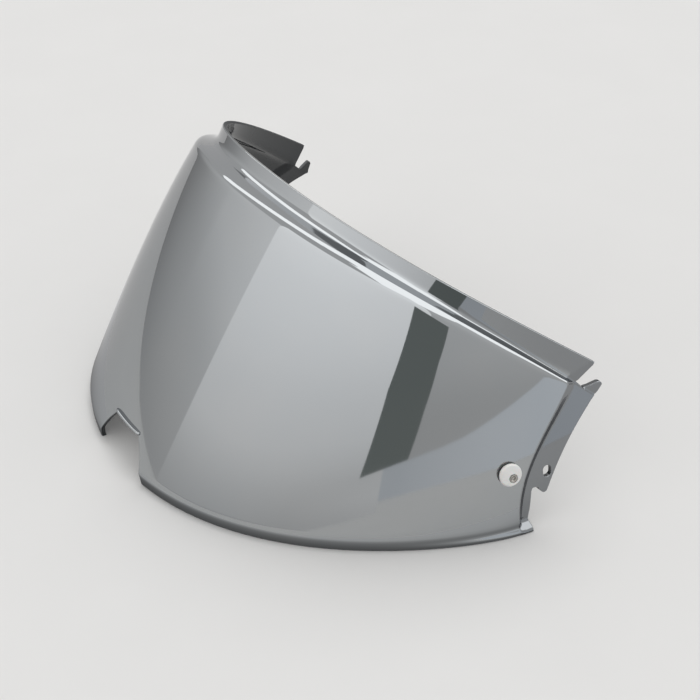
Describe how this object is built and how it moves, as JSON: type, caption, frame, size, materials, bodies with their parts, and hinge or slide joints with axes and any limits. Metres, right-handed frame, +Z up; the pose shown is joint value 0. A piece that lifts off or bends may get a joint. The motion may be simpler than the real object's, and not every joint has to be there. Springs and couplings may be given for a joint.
{
  "type": "motorcycle helmet visor",
  "caption": "Wrap-round mirrored smoke visor for a full-face motorcycle helmet, with finger notch, hooked fixing plates and eccentric lens pins that turn.",
  "frame": {"origin": "on the table that the lower edge rests on, in the middle of the visor across and from front to back", "axes": "+Z up, the front faces -Y, +X is the wearer's left"},
  "size_m": [0.262, 0.1634, 0.1207],
  "materials": {
    "smoke_mirror": "polished, mirror-coated outside, dark smoke inside",
    "white_nylon": "satin",
    "clear_silicone": "soft matt",
    "stainless": "turned"
  },
  "bodies": {
    "shield": {"shield": "smoke_mirror"},
    "pin_left": {"pin_cap_left": "white_nylon", "pin_seal_left": "clear_silicone", "pin_screw_left": "stainless", "pin_stud_left": "white_nylon"},
    "pin_right": {"pin_cap_right": "white_nylon", "pin_seal_right": "clear_silicone", "pin_screw_right": "stainless", "pin_stud_right": "white_nylon"}
  },
  "joints": [
    {"name": "pin_left_turn", "type": "hinge", "parent": "shield", "child": "pin_left", "pos_m": [0.12358, 0.03194, 0.028], "axis": [0.9368, -0.2134, 0.2773], "continuous": true},
    {"name": "pin_right_turn", "type": "hinge", "parent": "shield", "child": "pin_right", "pos_m": [-0.12358, 0.03194, 0.028], "axis": [-0.9368, -0.2134, 0.2773], "continuous": true}
  ]
}
